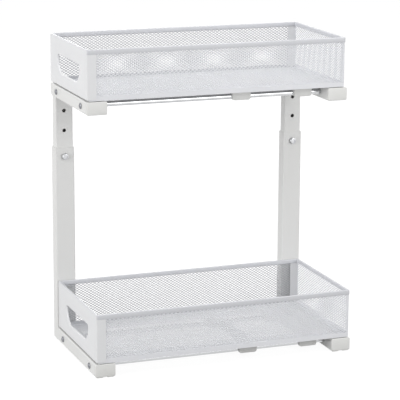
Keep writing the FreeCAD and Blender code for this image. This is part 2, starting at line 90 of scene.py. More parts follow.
def add_node(tree, kind, settings={}, links={}):
    """Add a node, set its inputs and properties, and join its inputs to other nodes."""
    node = tree.nodes.new(kind)
    for name, value in settings.items():
        if isinstance(name, int) or name in node.inputs:
            node.inputs[name].default_value = value
        else:
            setattr(node, name, value)
    for name, source in links.items():
        tree.links.new(source, node.inputs[name])
    return node


print("a middle grey in linear light:", [round(channel, 3) for channel in linear("#808080")])

# %% [markdown]
# ## A mottled, bumpy surface
# No real finish is one flat colour.  A coat's tint and gloss drift a little over some centimetres,
# and its skin has a fine grain.  Both are noise on Object coordinates, whose unit is the metre, so
# a grain of so many millimetres has a scale of 1000 divided by it.

# %% Finish builder
MM_PER_METRE = 1000
GLOSS_DRIFT = 0.04
DRIFT_DETAIL = 3.0
GRAIN_DETAIL = 2.0


def new_finish(name, colour, drift_colour, drift_mm, grain_mm, grain_high_mm, roughness,
               stretch=(1, 1, 1), **sockets):
    """Material whose colour and roughness drift slowly and whose skin has a fine grain."""
    material = bpy.data.materials.new(name)
    material.use_nodes = True
    tree = material.node_tree
    shader = tree.nodes["Principled BSDF"]
    for socket, value in sockets.items():
        shader.inputs[socket].default_value = value
    place = add_node(tree, "ShaderNodeTexCoord").outputs["Object"]
    drift = add_node(tree, "ShaderNodeTexNoise",
                     {"Scale": MM_PER_METRE / drift_mm, "Detail": DRIFT_DETAIL},
                     {"Vector": place}).outputs["Fac"]
    tint = add_node(tree, "ShaderNodeMix", {"data_type": "RGBA"}, {"Factor": drift})
    tint.inputs["A"].default_value = linear(colour)
    tint.inputs["B"].default_value = linear(drift_colour)
    tree.links.new(tint.outputs["Result"], shader.inputs["Base Color"])
    gloss = add_node(tree, "ShaderNodeMapRange",
                     {"To Min": roughness - GLOSS_DRIFT, "To Max": roughness + GLOSS_DRIFT},
                     {"Value": drift})
    tree.links.new(gloss.outputs["Result"], shader.inputs["Roughness"])
    along = add_node(tree, "ShaderNodeMapping", {"Scale": stretch}, {"Vector": place})
    grain = add_node(tree, "ShaderNodeTexNoise",
                     {"Scale": MM_PER_METRE / grain_mm, "Detail": GRAIN_DETAIL},
                     {"Vector": along.outputs["Vector"]})
    bump = add_node(tree, "ShaderNodeBump", {"Strength": 1.0, "Distance": grain_high_mm * MM},
                    {"Height": grain.outputs["Fac"]})
    tree.links.new(bump.outputs["Normal"], shader.inputs["Normal"])
    return material


# %% [markdown]
# ## Powder coat
# Polyester powder is blown on the steel and baked to a satin skin, IOR about 1.5, with a soft
# orange peel of one or two millimetres.  The tubes are a warm white and the sheet is a neutral
# one, and the mesh is matt and a little blue.  The rim is a cooler grey white, painted a little
# darker than the sheet as painted shade.  The wall on the post side is seen through the tray
# against the light, so its strands are painted darker as painted shade, which keeps every
# diamond readable.

# %% Powder coats
def powder_coat(part, colour, drift_colour, drift_mm, roughness, peel_mm=1.6,
                peel_high_mm=0.012):
    """Baked polyester coat on steel, whose orange peel has a pitch and a height."""
    return new_finish(f"powder_coated_steel_{part}", colour, drift_colour, drift_mm, peel_mm,
                      peel_high_mm, roughness)


tube_coat = powder_coat("tube", "#E9E9E8", "#E4E4E2", drift_mm=60, roughness=0.42)
sheet_coat = powder_coat("sheet", "#EAEAEB", "#E5E6E8", drift_mm=50, roughness=0.40)
# Painted shade: the rim's coat is a cooler white painted darker than the sheet's.
rim_coat_with_painted_shade = powder_coat("rim", "#DADBDF", "#D4D5D9", drift_mm=50, roughness=0.40)
mesh_coat = powder_coat("mesh", "#ECEDF0", "#E5E6EA", drift_mm=40, roughness=0.50,
                        peel_mm=1.2, peel_high_mm=0.02)
# Painted shade: the post-side wall's mesh coat is darker, standing in for the shade it is seen in.
mesh_coat_with_painted_shade = powder_coat("mesh_with_painted_shade", "#D0D1D4", "#C9CACE", drift_mm=40, roughness=0.50,
                             peel_mm=1.2, peel_high_mm=0.02)
coats = (tube_coat, sheet_coat, rim_coat_with_painted_shade, mesh_coat, mesh_coat_with_painted_shade)
print("coats:", [coat.name for coat in coats])

# %% [markdown]
# ## Plastics and metals
# The caps are moulded polypropylene with a spark-eroded, matt skin.  The sliders are acetal,
# which is denser and shows a little more shine.  The feet are grey rubber, the dullest of all.
# The rails are bright drawn bar, whose grain is pulled out along y, so it is stretched there.  The
# rail screws are zinc plated and grey, and the lock screws nickel plated and nearly white.

# %% Plastics and metals
cap_plastic = new_finish("moulded_polypropylene", "#E8E8E6", "#E2E2DF", drift_mm=30,
                         grain_mm=0.6, grain_high_mm=0.02, roughness=0.48)
slider_plastic = new_finish("moulded_acetal", "#EAEAE8", "#E2E2E0", drift_mm=20,
                            grain_mm=0.6, grain_high_mm=0.01, roughness=0.36)
rubber = new_finish("grey_rubber", "#8C8C8A", "#7F7F7D", drift_mm=15,
                    grain_mm=0.5, grain_high_mm=0.03, roughness=0.75)
rail_steel = new_finish("bright_drawn_steel", "#D2D3D4", "#C4C5C7", drift_mm=25, grain_mm=0.5,
                        grain_high_mm=0.003, roughness=0.12, stretch=(1, 0.02, 1),
                        Metallic=1.0)
zinc_steel = new_finish("zinc_plated_steel", "#97989C", "#7F8085", drift_mm=6, grain_mm=0.35,
                        grain_high_mm=0.008, roughness=0.26, Metallic=1.0)
nickel_steel = new_finish("nickel_plated_steel", "#CDCED0", "#BDBEC1", drift_mm=6,
                          grain_mm=0.35, grain_high_mm=0.006, roughness=0.28, Metallic=1.0)
slot_finish = {
    "coated_tube": tube_coat, "coated_sheet": sheet_coat, "coated_mesh": mesh_coat,
    "cap_plastic": cap_plastic, "slider_plastic": slider_plastic, "rail_steel": rail_steel,
    "zinc_steel": zinc_steel, "rubber": rubber,
}
for part in frame["record"]["subparts"]:
    frame["nodes"][part["node"]].material_slots[0].material = slot_finish[part["material_slot"]]
print("finishes by slot:", len(slot_finish))

# %% [markdown]
# ## Pieces
# A finished piece is a mesh whose place is in its points, on an object that stays at the origin.
# It rides on the body of the part that it stands for.  Edges sharper than 35 degrees stay crisp,
# and everything rounder is shaded smooth.

# %% Piece helpers
SHARP_FROM = math.radians(35)
WELD = 0.01 * MM


def keep_piece(name, mesh, material, body, replaced=()):
    """Show a mesh as a piece that rides on a body and stands for some parts of the frame."""
    mesh.materials.clear()
    mesh.materials.append(material)
    mesh.shade_smooth()
    mesh.set_sharp_from_angle(angle=SHARP_FROM)
    piece = bpy.data.objects.new(name, mesh)
    bpy.context.scene.collection.objects.link(piece)
    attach(piece, body)
    if replaced:
        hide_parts(*replaced)
    print(f"{name}: {len(mesh.polygons)} faces")


def loose_object(mesh):
    """Object that carries a mesh while modifiers work on it."""
    thing = bpy.data.objects.new("work", mesh)
    bpy.context.scene.collection.objects.link(thing)
    return thing


def frozen(thing):
    """Plain mesh of an object with its modifiers in effect; the object is removed."""
    bpy.context.view_layer.update()
    graph = bpy.context.evaluated_depsgraph_get()
    mesh = bpy.data.meshes.new_from_object(thing.evaluated_get(graph))
    bpy.data.objects.remove(thing)
    return mesh


def outward_mesh(bm):
    """Mesh of what is in a bmesh, with its faces turned outwards."""
    bmesh.ops.recalc_face_normals(bm, faces=bm.faces)
    mesh = bpy.data.meshes.new("piece")
    bm.to_mesh(mesh)
    bm.free()
    return mesh


def closed_mesh(bm):
    """The same, after its doubled points are merged."""
    bmesh.ops.remove_doubles(bm, verts=bm.verts, dist=WELD)
    return outward_mesh(bm)


# %% [markdown]
# ## Rings and skins
# Most of the rigid pieces here are a rounded rectangle that grows, shrinks or moves along a line:
# a cap, a rim, a bar.  So one function gives the ring's points and another stretches a skin over
# a row of rings, with a face at each end unless the row closes on itself.  The faces between two
# rows are a function of their own, because a bend in sheet is made of them too.

# %% Ring and skin helpers
def ring(half_x, half_y, corner, steps=6):
    """Corner arcs of a rounded rectangle, one point after another round it."""
    corner = max(corner, 0.0)
    points = []
    for quarter, (sign_x, sign_y) in enumerate(((1, 1), (-1, 1), (-1, -1), (1, -1))):
        for step in range(steps + 1):
            turn = math.pi / 2 * (quarter + step / steps)
            points.append((sign_x * (half_x - corner) + corner * math.cos(turn),
                           sign_y * (half_y - corner) + corner * math.sin(turn)))
    return points


def arc(centre, radius, start, end, steps):
    """Points of an arc in a plane, from one angle to another, in degrees."""
    turns = [math.radians(start + (end - start) * step / steps) for step in range(steps + 1)]
    return [(centre[0] + radius * math.cos(turn), centre[1] + radius * math.sin(turn))
            for turn in turns]


def join_rows(bm, rows, around=True):
    """Faces between rows of equally many vertices, which may go round to their start."""
    count = len(rows[0])
    for low, high in zip(rows, rows[1:]):
        for step in range(count if around else count - 1):
            after = (step + 1) % count
            bm.faces.new((low[step], low[after], high[after], high[step]))


def bridge(bm, points, around=True):
    """Vertices at rows of points, and the faces between them; gives back the vertices."""
    rows = [[bm.verts.new(point) for point in row] for row in points]
    join_rows(bm, rows, around)
    return rows


def skin(bm, rings, closed=False):
    """Skin over a row of rings, closed on itself or with a face at each end."""
    rows = bridge(bm, rings)
    if closed:
        join_rows(bm, [rows[-1], rows[0]])
    else:
        bm.faces.new(rows[0])
        bm.faces.new(rows[-1])


# %% [markdown]
# ## Folded rim
# A strip of sheet is folded over the top of the walls: a lip outside, a narrow web on top and a
# shorter lip inside.  Its section is one closed outline, and it is swept round the tray as a ring
# for each point of the section, so the folds keep their radius and the corners stay round.

# %% Rims
SHEET = 1.0 * MM
RIM_WIDE = 3.0 * MM
RIM_INNER_DROP = 6.0 * MM
RIM_CORNER = 2.0 * MM
FOLD = 1.0 * MM
FOLD_STEPS = 5
LIP_ROUND = 0.3 * MM
LIP_STEPS = 2


def rim_section(drop):
    """Outline of the folded strip: inset from the tray's outside, and height below its top."""
    inner = RIM_WIDE - SHEET
    outline = arc((LIP_ROUND, LIP_ROUND - drop), LIP_ROUND, 270, 180, LIP_STEPS)
    outline += arc((FOLD, -FOLD), FOLD, 180, 90, FOLD_STEPS)
    outline += arc((RIM_WIDE - FOLD, -FOLD), FOLD, 90, 0, FOLD_STEPS)
    outline += arc((RIM_WIDE - LIP_ROUND, LIP_ROUND - RIM_INNER_DROP), LIP_ROUND, 0, -90,
                   LIP_STEPS)
    return outline + [(inner, -RIM_INNER_DROP), (inner, -SHEET), (SHEET, -SHEET), (SHEET, -drop)]


for tier in TIERS:
    low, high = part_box(f"{tier}_tray_rim")
    half = (high - low) / 2
    middle = (low + high) / 2
    bm = bmesh.new()
    skin(bm, [[(middle.x + x, middle.y + y, high.z + rise)
               for x, y in ring(half.x - inset, half.y - inset, RIM_CORNER - inset)]
              for inset, rise in rim_section(high.z - low.z)], closed=True)
    # The rim takes the coat that carries painted shade.
    keep_piece(f"{tier}_folded_rim", closed_mesh(bm), rim_coat_with_painted_shade, f"{tier}_tray",
               [f"{tier}_tray_rim"])

# %% [markdown]
# ## Finger cut-out
# The pull end has a D-shaped cut-out for the fingers: straight on top with small corners, and
# deeply rounded below.  Four arcs give it, and growing their radii by one distance gives the
# parallel outlines that the turned-in edge needs.

# %% Finger cut-out
GRIP_WIDE = 110 * MM
GRIP_TALL = 27 * MM
GRIP_DOWN = 26 * MM
GRIP_TOP_ROUND = 5 * MM
GRIP_LOW_ROUND = 23 * MM
TOP_STEPS = 6
LOW_STEPS = 14


def grip_outline(grow):
    """The D-shaped cut-out, grown by a distance, round the middle of its top edge."""
    half_wide = GRIP_WIDE / 2
    top = GRIP_TOP_ROUND
    low = GRIP_LOW_ROUND
    points = arc((half_wide - top, -top), top + grow, 0, 90, TOP_STEPS)
    points += arc((top - half_wide, -top), top + grow, 90, 180, TOP_STEPS)
    points += arc((low - half_wide, low - GRIP_TALL), low + grow, 180, 270, LOW_STEPS)
    return points + arc((half_wide - low, low - GRIP_TALL), low + grow, 270, 360, LOW_STEPS)


print("points round the cut-out:", len(grip_outline(0)))

# %% [markdown]
# ## Pull panel
# The tray's pull end is one sheet, bent back along both sides and below, and the cut-out's edge
# is turned in so that it is kind to fingers.  It is drawn as the sheet's outer skin alone: a flat
# face filled between its border and the cut-out, a turned-in lip and three bends.  Solidify then
# gives it the sheet's thickness inwards.  Its face stands a millimetre proud of the frame's, and
# its lower edge a millimetre higher, which leaves the dark gap above the beam.

# %% Panel skin
BEND = 1.2 * MM
BEND_STEPS = 6
BOTTOM_RETURN = 14 * MM
LIP_DEEP = 2.6 * MM
LIP_TURN = 15


def add_flat_face(bm, outlines):
    """Flat face between the outlines of a border and of a hole."""
    edges = []
    for outline in outlines:
        verts = [bm.verts.new(point) for point in outline]
        edges += [bm.edges.new((verts[step - 1], verts[step])) for step in range(len(verts))]
    bmesh.ops.triangle_fill(bm, use_beauty=True, use_dissolve=False, edges=edges)


def grip_lip():
    """How far the cut-out's edge is grown and set back, row by row round its bend."""
    turns = [math.radians(turn) for turn in range(0, 91, LIP_TURN)]
    bend = [(BEND - BEND * math.sin(turn), BEND - BEND * math.cos(turn)) for turn in turns]
    return bend + [(0.0, LIP_DEEP)]


def pull_panel_skin(low, high, tray_top, rim_drop):
    """Outer skin of the folded sheet, as an open mesh."""
    middle = (low.x + high.x) / 2
    flat = (high.x - low.x) / 2 - BEND
    flange_top = tray_top - rim_drop
    sheet_top = tray_top - SHEET
    grip_top = tray_top - GRIP_DOWN
    bm = bmesh.new()
    border = [(-flat, low.z + BEND), (flat, low.z + BEND), (flat, flange_top), (flat, sheet_top),
              (-flat, sheet_top), (-flat, flange_top)]
    hole = [(x, grip_top + z) for x, z in grip_outline(BEND)]
    add_flat_face(bm, [[(middle + x, low.y, z) for x, z in outline] for outline in (border, hole)])
    bridge(bm, [[(middle + x, low.y + deep, grip_top + z) for x, z in grip_outline(grow)]
                for grow, deep in grip_lip()])
    fold = [(y, BEND - rise) for y, rise in arc((BEND, 0), BEND, 180, 90, BEND_STEPS)]
    bridge(bm, [[(middle + x, low.y + y, low.z + z) for x in (-flat, flat)]
                for y, z in [(0, BEND)] + fold[1:] + [(BOTTOM_RETURN, 0)]], around=False)
    side = arc((flat, BEND), BEND, -90, 0, BEND_STEPS) + [(flat + BEND, high.y - low.y)]
    for sign in (-1, 1):
        bridge(bm, [[(middle + sign * x, low.y + y, z) for z in (low.z + BEND, flange_top)]
                    for x, y in side], around=False)
    return closed_mesh(bm)


# %% [markdown]
# ## Both pull panels
# The fill's first face tells which way the skin looks, and the thickness goes the other way, into
# the tray.

# %% Pull panels
PROUD = 1.05 * MM
LIFT = 1.2 * MM
for tier in TIERS:
    low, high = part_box(f"{tier}_tray_pull_panel")
    rim_low, rim_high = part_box(f"{tier}_tray_rim")
    outside = Vector((low.x, low.y - PROUD, low.z + LIFT))
    panel = loose_object(pull_panel_skin(outside, high, rim_high.z, rim_high.z - rim_low.z))
    normal = panel.data.polygons[0].normal
    thicken = panel.modifiers.new("sheet", "SOLIDIFY")
    thicken.thickness = SHEET
    thicken.offset = -1 if normal.y < 0 else 1
    keep_piece(f"{tier}_bent_pull_panel", frozen(panel), sheet_coat, f"{tier}_tray",
               [f"{tier}_tray_pull_panel"])

# %% [markdown]
# ## One diamond of expanded mesh
# The walls and floors are expanded metal: sheet that is slit and pulled open into diamonds, whose
# strands lean and meet in short flat knuckles.  One cell of it is two crossing strands with
# chamfered edges and two knuckles, one in the middle and one at a corner.  It comes back
# thousands of times, so it has few faces.

# %% Mesh cell
PITCH_LONG = 6.2 * MM
PITCH_SHORT = 3.95 * MM
STRAND_WIDE = 1.1 * MM
STRAND_THICK = 0.35 * MM
STRAND_LEAN = math.radians(38)
CHAMFER = 0.12 * MM
KNUCKLE_HALF = 1.0 * MM
KNUCKLE_TALL = 0.85 * MM
KNUCKLE_THICK = 0.45 * MM
KNUCKLE_FLAT = 0.45


def add_strand(bm, end, lean):
    """Six-sided strand from minus one end to the other, leaning about its own length."""
    run = end.normalized()
    up = Vector((-run.y, run.x, 0)) * (1 if run.x > 0 else -1)
    out = Vector((0, 0, 1))
    face = out * math.cos(lean) + up * math.sin(lean)
    edge = up * math.cos(lean) - out * math.sin(lean)
    wide = STRAND_WIDE / 2
    flat = wide - CHAMFER
    thick = STRAND_THICK / 2
    section = [edge * across + face * rise for across, rise in (
        (wide, 0), (flat, thick), (-flat, thick), (-wide, 0), (-flat, -thick), (flat, -thick))]
    bridge(bm, [[side + point for point in section] for side in (-end, end)])


def add_knuckle(bm, centre):
    """Flat six-sided knuckle, long along the diamonds; KNUCKLE_FLAT is its flat edges' share."""
    outline = [(KNUCKLE_HALF * x, KNUCKLE_TALL * y) for x, y in (
        (1, 0), (KNUCKLE_FLAT, 1), (-KNUCKLE_FLAT, 1),
        (-1, 0), (-KNUCKLE_FLAT, -1), (KNUCKLE_FLAT, -1))]
    skin(bm, [[centre + Vector((x, y, z)) for x, y in outline]
              for z in (-KNUCKLE_THICK / 2, KNUCKLE_THICK / 2)])


def mesh_cell(lean):
    """Object with one cell, for the tree to repeat."""
    bm = bmesh.new()
    corner = Vector((PITCH_LONG, PITCH_SHORT, 0)) / 2
    add_strand(bm, corner, lean)
    add_strand(bm, corner * Vector((1, -1, 0)), lean)
    add_knuckle(bm, Vector())
    add_knuckle(bm, corner)
    return loose_object(outward_mesh(bm))


# %% [markdown]
# ## Trees that repeat a piece
# Geometry Nodes repeat what comes back: the diamonds here and the screws below.  Each tree has
# named inputs for its sizes.  It ends by making its instances real, because the export would drop
# them, and by setting their material.  A modifier knows an input by its identifier, so one
# function looks it up by name and turns the result into a plain mesh.

# %% Tree helpers
def new_tree(name, inputs):
    """Geometry Nodes tree, and what its inputs give, of which each has a name and a kind."""
    tree = bpy.data.node_groups.new(name, "GeometryNodeTree")
    for title, kind in inputs.items():
        tree.interface.new_socket(title, in_out="INPUT", socket_type=f"NodeSocket{kind}")
    tree.interface.new_socket("Mesh", in_out="OUTPUT", socket_type="NodeSocketGeometry")
    return tree, add_node(tree, "NodeGroupInput").outputs


def end_tree(tree, geometry, finish):
    """Make the instances real, give them their finish and hand them out."""
    real = add_node(tree, "GeometryNodeRealizeInstances", {}, {"Geometry": geometry})
    finished = add_node(tree, "GeometryNodeSetMaterial", {},
                        {"Geometry": real.outputs["Geometry"], "Material": finish})
    add_node(tree, "NodeGroupOutput", {}, {"Mesh": finished.outputs["Geometry"]})
    print(f"{tree.name}: {len(tree.nodes)} nodes")


def grown(thing, tree, values):
    """Plain mesh that a tree makes of an object, from values for its named inputs."""
    modifier = thing.modifiers.new("tree", "NODES")
    modifier.node_group = tree
    sockets = {item.name: item.identifier for item in tree.interface.items_tree
               if item.in_out == "INPUT"}
    for name, value in values.items():
        modifier[sockets[name]] = value
    return frozen(thing)


# %% [markdown]
# ## Repeating the diamond
# The tree puts the cell on every point of a grid, stretched a little so that a whole number fills
# the field, and joins the panel's border.

# %% Mesh tree
mesh_tree, given = new_tree("expanded_mesh", {
    "Border": "Geometry", "Cell": "Object", "Columns": "Int", "Rows": "Int", "Step": "Vector",
    "Stretch": "Vector", "Middle": "Vector", "Finish": "Material"})
counts = add_node(mesh_tree, "ShaderNodeCombineXYZ", {},
                  {"X": given["Columns"], "Y": given["Rows"]})
gaps = add_node(mesh_tree, "ShaderNodeVectorMath", {"operation": "SUBTRACT", 1: (1, 1, 0)},
                {0: counts.outputs["Vector"]})
field = add_node(mesh_tree, "ShaderNodeVectorMath", {"operation": "MULTIPLY"},
                 {0: gaps.outputs["Vector"], 1: given["Step"]})
spans = add_node(mesh_tree, "ShaderNodeSeparateXYZ", {}, {"Vector": field.outputs["Vector"]})
grid = add_node(mesh_tree, "GeometryNodeMeshGrid", {},
                {"Size X": spans.outputs["X"], "Size Y": spans.outputs["Y"],
                 "Vertices X": given["Columns"], "Vertices Y": given["Rows"]})
placed = add_node(mesh_tree, "GeometryNodeTransform", {},
                  {"Geometry": grid.outputs["Mesh"], "Translation": given["Middle"]})
one_cell = add_node(mesh_tree, "GeometryNodeObjectInfo", {"As Instance": True},
                    {"Object": given["Cell"]})
cells = add_node(mesh_tree, "GeometryNodeInstanceOnPoints", {},
                 {"Points": placed.outputs["Geometry"], "Instance": one_cell.outputs["Geometry"],
                  "Scale": given["Stretch"]})
everything = add_node(mesh_tree, "GeometryNodeJoinGeometry")
for shape in (given["Border"], cells.outputs["Instances"]):
    mesh_tree.links.new(shape, everything.inputs["Geometry"])
end_tree(mesh_tree, everything.outputs["Geometry"], given["Finish"])

# %% [markdown]
# ## A flat mesh panel
# A panel is laid out flat: four folded bars round a field, and as many diamonds as fit the field
# best.  Then it is turned upright at its place in the tray.

# %% Panel helpers
BAR_EASE = 0.25 * MM


def add_bar(bm, low, high, ease=BAR_EASE):
    """Flat bar with eased edges, between two corners."""
    made = bmesh.ops.create_cube(bm, size=1)
    spread = Vector(high) - Vector(low)
    centre = (Vector(high) + Vector(low)) / 2
    bmesh.ops.scale(bm, vec=spread, verts=made["verts"])
    bmesh.ops.translate(bm, vec=centre, verts=made["verts"])
    edges = {edge for vert in made["verts"] for edge in vert.link_edges}
    bmesh.ops.bevel(bm, geom=list(edges), offset=ease, segments=2, affect="EDGES")


def mesh_panel(long, tall, thick, edges, lean, finish):
    """Flat panel, x from 0 to long and y from 0 to tall, with bars as wide as its edges."""
    bottom, top, left, right = edges
    bm = bmesh.new()
    for (start, end), (foot, head) in (
            ((0, long), (0, bottom)), ((0, long), (tall - top, tall)),
            ((0, left), (bottom, tall - top)), ((long - right, long), (bottom, tall - top))):
        add_bar(bm, (start, foot, -thick / 2), (end, head, thick / 2))
    field = (long - left - right, tall - bottom - top)
    columns = round(field[0] / PITCH_LONG)
    rows = round(field[1] / PITCH_SHORT)
    step = (field[0] / columns, field[1] / rows)
    cell = mesh_cell(lean)
    mesh = grown(loose_object(outward_mesh(bm)), mesh_tree, {
        "Cell": cell, "Columns": columns, "Rows": rows, "Step": (*step, 0.0),
        "Stretch": (step[0] / PITCH_LONG, step[1] / PITCH_SHORT, 1.0),
        "Middle": (left + field[0] / 2, bottom + field[1] / 2, 0.0), "Finish": finish})
    bpy.data.objects.remove(cell)
    print(f"{columns} x {rows} diamonds")
    return mesh


def stand_up(mesh, corner, along, up):
    """Move a flat panel so that its x and y run along two directions from a corner."""
    across = Vector(along).cross(Vector(up))
    turn = Matrix((along, up, across)).transposed().to_4x4()
    mesh.transform(Matrix.Translation(corner) @ turn)


# %% [markdown]
# ## Mesh walls and floors
# The strands' outer faces lean upwards, so the left wall, which faces the other way, needs the
# opposite lean.  The mesh goes round the rear corners, and ends in a seam on the left.  Its lower
# edge is a broad hem, and its upper edge lies under the rim.

# %% Mesh panels
HEM = 7 * MM
SEAM = 12 * MM
UNDER_RIM = 5.5 * MM
BEND_SIDE = 2 * MM
PANEL_SIDE = 8 * MM
AGAINST_X = (-1, 0, 0)
ALONG_Y = (0, 1, 0)
UPWARDS = (0, 0, 1)
for tier, wall in product(TIERS, ("right", "left", "rear", "floor")):
    node = f"{tier}_tray_mesh_{wall}"
    low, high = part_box(node)
    span = high - low
    middle = (low + high) / 2
    # The left wall takes the darker mesh coat that carries painted shade.
    finish = mesh_coat_with_painted_shade if wall == "left" else mesh_coat
    if wall == "floor":
        flat = mesh_panel(span.y, span.x, span.z, (HEM, HEM, HEM, HEM), 0.0, finish)
        stand_up(flat, (high.x, low.y, middle.z), ALONG_Y, AGAINST_X)
    elif wall == "rear":
        edges = (HEM, UNDER_RIM, BEND_SIDE, BEND_SIDE)
        flat = mesh_panel(span.x, span.z, span.y, edges, STRAND_LEAN, finish)
        stand_up(flat, (high.x, middle.y, low.z), AGAINST_X, UPWARDS)
    else:
        far_edge, lean = (SEAM, -STRAND_LEAN) if wall == "left" else (BEND_SIDE, STRAND_LEAN)
        edges = (HEM, UNDER_RIM, PANEL_SIDE, far_edge)
        flat = mesh_panel(span.y, span.z, span.x, edges, lean, finish)
        stand_up(flat, (middle.x, low.y, low.z), ALONG_Y, UPWARDS)
    keep_piece(f"{tier}_expanded_mesh_{wall}", flat, finish, f"{tier}_tray",
               [node])

# %% [markdown]
# ## Joining strips and runners
# A flat strip covers the seam of the mesh inside the tray, at the left rear corner.  Under each
# mesh floor lie two thin runners that join the floor's border to the line of the rails, so the
# rails mirror a dark underside and not the light through the diamonds.

# %% Strips and runners
STRIP_THICK = 0.5 * MM
STRIP_EASE = 0.15 * MM
RUNNER_THICK = 0.2 * MM
RUNNER_EASE = 0.05 * MM
RUNNER_PAST_RAIL = 8 * MM


def flat_strip(low, high, ease):
    """Mesh of one flat strip with eased edges."""
    bm = bmesh.new()
    add_bar(bm, low, high, ease)
    return closed_mesh(bm)


for tier in TIERS:
    low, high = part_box(f"{tier}_tray_mesh_left")
    strip = flat_strip((high.x, high.y - SEAM, low.z + HEM / 2),
                       (high.x + STRIP_THICK, high.y, high.z - UNDER_RIM), STRIP_EASE)
    keep_piece(f"{tier}_joining_strip", strip, sheet_coat, f"{tier}_tray")
    low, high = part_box(f"{tier}_tray_mesh_floor")
    for side, edge, sign in (("left", low.x, -1), ("right", high.x, 1)):
        rail_low, rail_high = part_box(f"{tier}_rail_{side}")
        rail_x = (rail_low.x + rail_high.x) / 2
        start, end = sorted((edge - sign * HEM, rail_x - sign * RUNNER_PAST_RAIL))
        runner = flat_strip((start, low.y + HEM, low.z),
                            (end, high.y - HEM, low.z + RUNNER_THICK), RUNNER_EASE)
        keep_piece(f"{tier}_floor_runner_{side}", runner, sheet_coat, f"{tier}_tray")

# %% [markdown]
# ## Turned pieces
# Rails and screws are turned on a lathe: a profile of radii and heights goes round an axis.  The
# profile starts and ends at a tiny radius, which closes the ends.  What is bored or pressed into
# them is taken away with a Boolean.

# %% Lathe
TIP = 0.01 * MM
ROUND_STEPS = 48


def turned(profile, steps=ROUND_STEPS):
    """Closed bmesh of a profile of (radius, height) pairs, turned round the z axis."""
    bm = bmesh.new()
    skin(bm, [[Vector((radius * math.cos(turn), radius * math.sin(turn), height))
               for turn in (2 * math.pi * step / steps for step in range(steps))]
              for radius, height in profile])
    return bm


def along_y(bm, axis):
    """Mesh of a turned bmesh, with its axis laid along y through a point."""
    mesh = closed_mesh(bm)
    mesh.transform(Matrix.Translation(axis) @ Matrix.Rotation(-math.pi / 2, 4, "X"))
    return mesh


def cut_out(mesh, cutter):
    """Mesh with another mesh taken away from it."""
    body = loose_object(mesh)
    tool = loose_object(cutter)
    cut = body.modifiers.new("cut", "BOOLEAN")
    cut.operation = "DIFFERENCE"
    cut.solver = "EXACT"
    cut.object = tool
    result = frozen(body)
    bpy.data.objects.remove(tool)
    return result


# %% [markdown]
# ## Rails
# Bright drawn bar, with a small chamfer at each end.  The bar's underside keeps the frame's
# height, and its top comes up to the dark gap under the tray.

# %% Rails
RAIL_RADIUS = 4.0 * MM
RAIL_EASE = 0.4 * MM
rail_axis = {}
for tier, side in product(TIERS, SIDES):
    node = f"{tier}_rail_{side}"
    low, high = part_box(node)
    axis = Vector(((low.x + high.x) / 2, 0, low.z + RAIL_RADIUS))
    rail_axis[tier, side] = axis
    bar = turned([(RAIL_RADIUS - RAIL_EASE, low.y), (RAIL_RADIUS, low.y + RAIL_EASE),
                  (RAIL_RADIUS, high.y - RAIL_EASE), (RAIL_RADIUS - RAIL_EASE, high.y)])
    keep_piece(f"{tier}_drawn_rail_{side}", along_y(bar, axis), rail_steel, f"{tier}_frame",
               [node])

# %% [markdown]
# ## Slider block
# Each slider is a moulded block with round lower corners and eased edges.  Its outline is drawn
# across the block and repeated from end to end, drawn in where the edges are eased: one point in
# the middle of the ease makes it round rather than a plain chamfer.

# %% Slider block
SLIDER_CORNER = 3.5 * MM
SLIDER_EASE = 0.7 * MM
CORNER_STEPS = 6
KNEE = 0.3
STRAP_THICK = 1.5 * MM


def slider_block(low, high):
    """Block with rounded lower corners, eased all round, from x low to x high."""
    bm = bmesh.new()
    top = high.z - STRAP_THICK
    middle_y = (low.y + high.y) / 2
    half_y = (high.y - low.y) / 2
    knee = SLIDER_EASE * KNEE
    rows = []
    for x, inset in ((low.x, SLIDER_EASE), (low.x + knee, knee), (low.x + SLIDER_EASE, 0),
                     (high.x - SLIDER_EASE, 0), (high.x - knee, knee), (high.x, SLIDER_EASE)):
        half = half_y - inset
        floor_z = low.z + inset
        bend = SLIDER_CORNER - inset
        outline = arc((half - bend, floor_z + bend), bend, -90, 0, CORNER_STEPS)
        outline += [(half, top), (-half, top)]
        outline += arc((bend - half, floor_z + bend), bend, 180, 270, CORNER_STEPS)
        rows.append([Vector((x, middle_y + y, z)) for y, z in outline])
    skin(bm, rows)
    return closed_mesh(bm)


# %% [markdown]
# ## Sliders
# The rail goes through the block's bore, with a little play.  A tongue on top is staked in the
# slot of the strap.

# %% Sliders
STAKE_WIDE = 6 * MM
STAKE_LONG = 14 * MM
STAKE_ROOT = 0.2 * MM
BORE_RADIUS = RAIL_RADIUS + 0.1 * MM
BORE_PAST = 1 * MM
for tier, end, side in product(TIERS, ENDS, SIDES):
    node = f"{tier}_tray_slider_{end}_{side}"
    low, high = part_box(node)
    middle = (low + high) / 2
    bore = along_y(turned([(BORE_RADIUS, low.y - BORE_PAST), (BORE_RADIUS, high.y + BORE_PAST)]),
                   rail_axis[tier, side])
    block = cut_out(slider_block(low, high), bore)
    bm = bmesh.new()
    bm.from_mesh(block)
    add_bar(bm, (middle.x - STAKE_WIDE / 2, middle.y - STAKE_LONG / 2,
                 high.z - STRAP_THICK - STAKE_ROOT),
            (middle.x + STAKE_WIDE / 2, middle.y + STAKE_LONG / 2, high.z))
    bm.to_mesh(block)
    bm.free()
    keep_piece(f"{tier}_moulded_slider_{end}_{side}", block, slider_plastic, f"{tier}_tray",
               [node])

# %% [markdown]
# ## A cap and its feet
# The open tube ends are closed by moulded caps.  A cap's collar is flush with the tube, its outer
# edge is rounded, and a fine groove parts it from the tube.  A tongue goes into the tube.  The
# two caps on the floor also have two round-edged foot nubs each.

# %% Cap helpers
TUBE_CORNER = 2 * MM
LEAST_CORNER = 0.4 * MM
CAP_ROUND = 0.9 * MM
GROOVE = 0.35 * MM
GROOVE_RISE = 1.6
TONGUE_INSET = 1.4 * MM
NUB_EASE = 0.6 * MM
NUB_CORNER = 1.2 * MM


